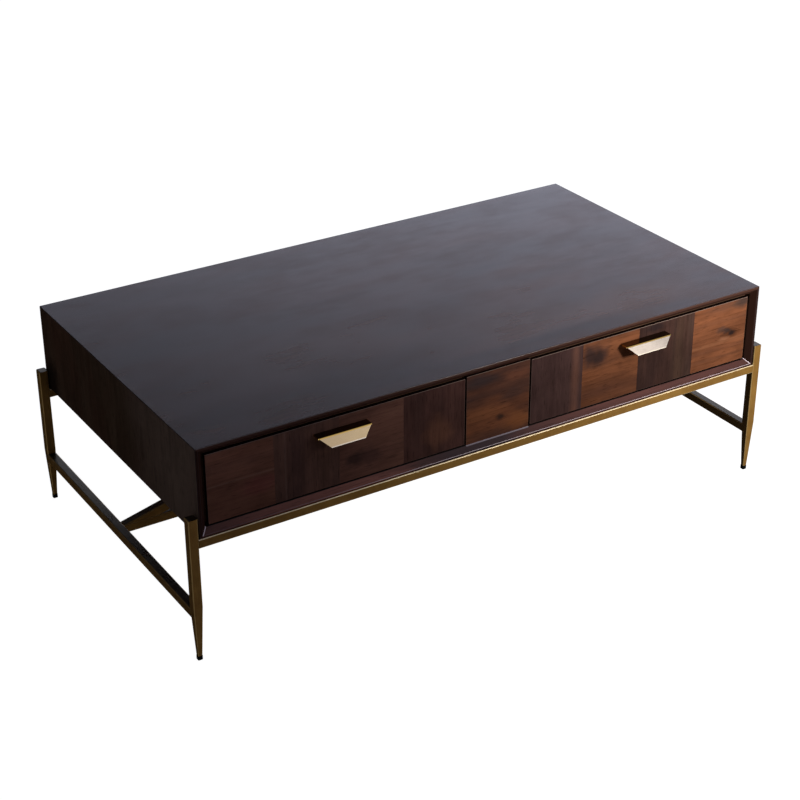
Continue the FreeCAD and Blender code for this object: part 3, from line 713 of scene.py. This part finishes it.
# %% Brass on the frame
BRASS_PALE = (0.285, 0.158, 0.040)
BRASS_DEEP = (0.192, 0.098, 0.025)
# A painted grey for the faces that look up, standing in for the sky they reflect.
BRASS_TOP_SKY_GREY = (0.108, 0.100, 0.072)
# Painted shade for the inner faces of the ends.
BRASS_INNER_SHADE = (0.060, 0.034, 0.012)
# Painted highlights for the arrises of the rails, legs and cross tubes, over real polish.
RAIL_ARRIS_HIGHLIGHT = (0.88, 0.72, 0.45)
LEG_ARRIS_HIGHLIGHT = (0.42, 0.27, 0.10)
CROSS_ARRIS_HIGHLIGHT = (0.34, 0.22, 0.09)
RAIL_TONE = 0.86
DRAWN_OUT = 0.05
TUBE_CORNER = (0.955, 0.87)
INWARD = (-0.45, -0.57)
# The rails' painted highlight weakens towards the right end.
RAIL_RIGHT = (0.10, 0.45)
RAIL_RIGHT_DIMMING = 0.26


def tube_arris(tree, edge, place):
    """Mask of the rounded corners of a tube."""
    return step(tree, edge["Square"], *TUBE_CORNER)


def inward_shade(tree, edge, place, colour):
    """Painted shade on the faces that look in from the table's two ends."""
    outward = calc(tree, "MULTIPLY", edge["Aside"], place["X"])
    return tint_by(tree, colour, BRASS_INNER_SHADE, step(tree, outward, *INWARD))


def rail_arris(tree, edge, place):
    """The same for a rail, whose painted highlight is a little weaker towards its right end."""
    share = calc(tree, "MULTIPLY_ADD", step(tree, place["X"], *RAIL_RIGHT), -RAIL_RIGHT_DIMMING, 1.0)
    return calc(tree, "MULTIPLY", tube_arris(tree, edge, place), share)


def brass_tube(name, lines, arris, pieces, tone=1.0, polished_highlit_edges=tube_arris):
    """Brass with its fine lines drawn along the tube, given to some pieces of the frame."""
    pale, deep = (tuple(tone * value for value in colour) for colour in (BRASS_PALE, BRASS_DEEP))
    brass = metal(name, pale, deep, metallic=0.02, rough=0.45, lines=lines, polished_highlit_edges=polished_highlit_edges, highlight_colour=arris,
                  edge_metallic=0.12, faces=inward_shade, top_grey=BRASS_TOP_SKY_GREY)
    finish_with(brass, *pieces)


legs = [name for name in nodes if name.endswith("_leg")]
rails = ["front_rail", "rear_rail"]
long_tubes = ["crossbar", "left_strut", "right_strut", "centre_plate"]
cross_tubes = ["left_stretcher", "right_stretcher"]
brass_tube("brass_upright", (1.0, 1.0, DRAWN_OUT), LEG_ARRIS_HIGHLIGHT, legs)
brass_tube("brass_rail", (DRAWN_OUT, 1.0, 1.0), RAIL_ARRIS_HIGHLIGHT, rails, RAIL_TONE, rail_arris)
brass_tube("brass_long", (DRAWN_OUT, 1.0, 1.0), CROSS_ARRIS_HIGHLIGHT, long_tubes)
brass_tube("brass_cross", (1.0, DRAWN_OUT, 1.0), CROSS_ARRIS_HIGHLIGHT, cross_tubes)
print("brass pieces:", len(legs + rails + long_tubes + cross_tubes))

# %% [markdown]
# ## Pulls, runners, screws and glides
# The pulls are a paler brass than the frame, nearly cream where they face the light, and the left one
# is a warmer gold. Each is folded from sheet: a deeper gold line is painted along the fold as its
# highlight, the lower rim is pale, and the level flange behind it is painted dark as the dark reflection it
# shows.

# %% Pulls
PULL_PALE = (0.53, 0.455, 0.365)
PULL_DEEP = (0.43, 0.365, 0.285)
PULL_LEFT_GOLD = (0.54, 0.385, 0.165)
PULL_RIM = (0.72, 0.62, 0.46)
# A painted highlight for the fold of the pulls.
PULL_FOLD_HIGHLIGHT = (0.62, 0.40, 0.10)
# A painted dark reflection for the level flange of the pulls.
PULL_FLANGE_REFLECTION = (0.120, 0.085, 0.045)
LEFT_GOLD_PLACE = (0.1, -0.1)
LEFT_GOLD_SHARE = 0.75
FLANGE_UP = (0.95, 0.99)
FOLD_UP = (0.98, 0.93)
pull_low, pull_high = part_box("left_pull")
FOLD_HIGH = (pull_high.z - 2.6 * MM, pull_high.z - 1.6 * MM)
RIM_LOW = (pull_low.z + 3.2 * MM, pull_low.z + 2.0 * MM)


def fold_arris(tree, edge, place):
    """Mask of a pull's fold, between its level flange and its sloping grip."""
    high = step(tree, place["Z"], *FOLD_HIGH)
    return calc(tree, "MULTIPLY", high, step(tree, edge["Up"], *FOLD_UP))


def pull_faces(tree, edge, place, colour):
    """The left pull is a warmer gold, both are pale at the lower rim, and the flange is painted dark as the
    dark reflection it shows.
    """
    left_gold = calc(tree, "MULTIPLY", step(tree, place["X"], *LEFT_GOLD_PLACE), LEFT_GOLD_SHARE)
    colour = tint_by(tree, colour, PULL_LEFT_GOLD, left_gold)
    colour = tint_by(tree, colour, PULL_RIM, step(tree, place["Z"], *RIM_LOW))
    return tint_by(tree, colour, PULL_FLANGE_REFLECTION, step(tree, edge["Up"], *FLANGE_UP))


pull_metal = metal("pale_brass", PULL_PALE, PULL_DEEP, metallic=1.0, rough=0.212,
                   lines=(DRAWN_OUT, 1.0, 1.0), grain_scale=1500.0, polished_highlit_edges=fold_arris,
                   highlight_colour=PULL_FOLD_HIGHLIGHT, edge_metallic=1.0, faces=pull_faces)
finish_with(pull_metal, "left_pull", "right_pull")
print("pull tops at", round(pull_high.z, 4), "m")

# %% [markdown]
# Runners and screws are bright zinc, with the lines of the rolled strip along each runner. The glides
# are moulded in black plastic, which the same recipe makes when it has no metallic share.

# %% Zinc and plastic
ZINC_PALE = (0.50, 0.50, 0.52)
ZINC_DEEP = (0.36, 0.36, 0.38)
PLASTIC_PALE = (0.010, 0.010, 0.010)
PLASTIC_DEEP = (0.006, 0.006, 0.006)
zinc = metal("zinc", ZINC_PALE, ZINC_DEEP, metallic=1.0, rough=0.36, lines=(1.0, DRAWN_OUT, 1.0))
glide_plastic = metal("glide_plastic", PLASTIC_PALE, PLASTIC_DEEP, metallic=0.0, rough=0.5)
finish_with(zinc, *[name for name in nodes if "runner" in name or "screws" in name])
finish_with(glide_plastic, *[name for name in nodes if name.endswith("_glide")])
print("pieces without a finish:", [name for name in nodes if not nodes[name].data.materials])

# %% [markdown]
# ## Floor, light and camera
# The floor is plain and pale. To the camera, and in reflections, it is mostly its own white, with a
# share left to real light so that the table keeps its shadow.

# %% Floor
FLOOR_HALF = 20.0
FLOOR_WHITE_SHARE = 0.5
FLOOR_WHITE = 1.95
FLOOR_ALBEDO = (0.65, 0.65, 0.65, 1.0)
bpy.ops.mesh.primitive_plane_add(size=2 * FLOOR_HALF, location=(0, 0, 0))
floor = bpy.context.object
floor.name = "floor"
floor_material = bpy.data.materials.new("floor_paint")
floor_material.use_nodes = True
tree = floor_material.node_tree
tree.nodes.clear()
light_path = add(tree, "ShaderNodeLightPath").outputs
seen = calc(tree, "MAXIMUM", light_path["Is Camera Ray"], light_path["Is Glossy Ray"])
seen = calc(tree, "MAXIMUM", seen, light_path["Is Transmission Ray"])
matt = add(tree, "ShaderNodeBsdfDiffuse", {"Color": FLOOR_ALBEDO}).outputs[0]
white = add(tree, "ShaderNodeEmission", {"Color": (1, 1, 1, 1), "Strength": FLOOR_WHITE}).outputs[0]
share = calc(tree, "MULTIPLY", seen, FLOOR_WHITE_SHARE)
mixed = add(tree, "ShaderNodeMixShader", {0: share, 1: matt, 2: white}).outputs[0]
tree.links.new(mixed, add(tree, "ShaderNodeOutputMaterial").inputs["Surface"])
floor.data.materials.append(floor_material)
print("floor:", 2 * FLOOR_HALF, "m square")

# %% [markdown]
# The room is a dim dome with a soft band low down behind the table's right end: that is what the
# lacquered top reflects, and it fades upwards. A dimmer glow high in front gives the pulls and the
# rounded edges something to mirror. The camera itself sees the room as white paper. The key is a soft
# lamp with a honeycomb grid, in front of the right drawer, so its light dies away along the front.

# %% Room light and key lamp
SKY_COLOUR = (0.86, 0.87, 1.06, 1.0)
PAPER_WHITE = (1.0, 1.0, 1.0, 1.0)
DOME = 0.055
BAND_FULL = 2.6
BAND_UNIT_RISE = 0.381
BAND_FADE = 17.0
BAND_TURN = math.radians(60.0)
BAND_SIDE = (math.sin(BAND_TURN), math.cos(BAND_TURN), 0.0)
BAND_WIDTH = (0.45, 1.0)
GLOW = 0.80
GLOW_WAY = (0.47, -0.69, 0.55)
GLOW_WIDTH = (0.82, 1.0)
world = bpy.data.worlds.new("studio")
bpy.context.scene.world = world
world.use_nodes = True
tree = world.node_tree
tree.nodes.clear()
way = add(tree, "ShaderNodeTexCoord").outputs["Generated"]
rise = add(tree, "ShaderNodeSeparateXYZ", {0: way}).outputs["Z"]
fading = calc(tree, "EXPONENT", calc(tree, "MULTIPLY_ADD", rise, -BAND_FADE, BAND_FADE * BAND_UNIT_RISE))
facing = add(tree, "ShaderNodeVectorMath", {0: way, 1: BAND_SIDE}, operation="DOT_PRODUCT").outputs["Value"]
band = calc(tree, "MULTIPLY", calc(tree, "MINIMUM", fading, BAND_FULL), step(tree, facing, *BAND_WIDTH))
ahead = add(tree, "ShaderNodeVectorMath", {0: way, 1: GLOW_WAY}, operation="DOT_PRODUCT").outputs["Value"]
glow = step(tree, ahead, *GLOW_WIDTH)
strength = calc(tree, "MULTIPLY_ADD", glow, GLOW, calc(tree, "ADD", band, DOME))
sky = add(tree, "ShaderNodeBackground", {"Color": SKY_COLOUR, "Strength": strength}).outputs[0]
paper = add(tree, "ShaderNodeBackground", {"Color": PAPER_WHITE, "Strength": 1.0}).outputs[0]
to_camera = add(tree, "ShaderNodeLightPath").outputs["Is Camera Ray"]
seen_room = add(tree, "ShaderNodeMixShader", {0: to_camera, 1: sky, 2: paper}).outputs[0]
tree.links.new(seen_room, add(tree, "ShaderNodeOutputWorld").inputs["Surface"])


def soft_lamp(name, place, target, size, power, spread, colour):
    """A square area lamp that looks at a point, its grid letting out a cone of the given spread."""
    lamp = bpy.data.lights.new(name, "AREA")
    lamp.shape = "SQUARE"
    lamp.size = size
    lamp.energy = power
    lamp.spread = spread
    lamp.color = colour
    holder = bpy.data.objects.new(name, lamp)
    bpy.context.scene.collection.objects.link(holder)
    holder.location = place
    holder.rotation_euler = (Vector(target) - Vector(place)).to_track_quat("-Z", "Y").to_euler()
    return holder


KEY_PLACE = (0.875, -1.71, 0.98)
KEY_TARGET = (0.45, -0.31, 0.36)
KEY_SIZE = 0.28
KEY_POWER = 2.68
KEY_SPREAD = math.radians(46.5)
KEY_COLOUR = (1.0, 0.985, 0.96)
key = soft_lamp("key", KEY_PLACE, KEY_TARGET, KEY_SIZE, KEY_POWER, KEY_SPREAD, KEY_COLOUR)
print("lamp:", key.name, key.data.energy, "W")

# %% [markdown]
# The camera stands where the photographer's did, worked out from the table's own corners: left of the
# front, looking down, with a lens long enough to keep the legs nearly upright.

# %% Camera
CAMERA_PLACE = Vector((-1592.8 * MM, -2540.5 * MM + case_middle.y, 1749.6 * MM))
CAMERA_TURN = math.radians(-31.961)
CAMERA_DOWN = math.radians(27.632)
CAMERA_ROLL = math.radians(-0.180)
FOCAL_PIXELS = 1792.6
IMAGE_SIDE = 800.0
camera_data = bpy.data.cameras.new("camera")
camera_data.sensor_width = 36.0
camera_data.lens = camera_data.sensor_width * FOCAL_PIXELS / IMAGE_SIDE
camera = bpy.data.objects.new("camera", camera_data)
bpy.context.scene.collection.objects.link(camera)
turned = Matrix.Rotation(CAMERA_TURN, 4, "Z")
tipped = Matrix.Rotation(math.pi / 2 - CAMERA_DOWN, 4, "X")
rolled = Matrix.Rotation(CAMERA_ROLL, 4, "Z")
camera.matrix_world = Matrix.Translation(CAMERA_PLACE) @ turned @ tipped @ rolled
bpy.context.scene.camera = camera
bpy.context.scene.view_settings.view_transform = "Standard"
print("lens:", round(camera_data.lens, 1), "mm")
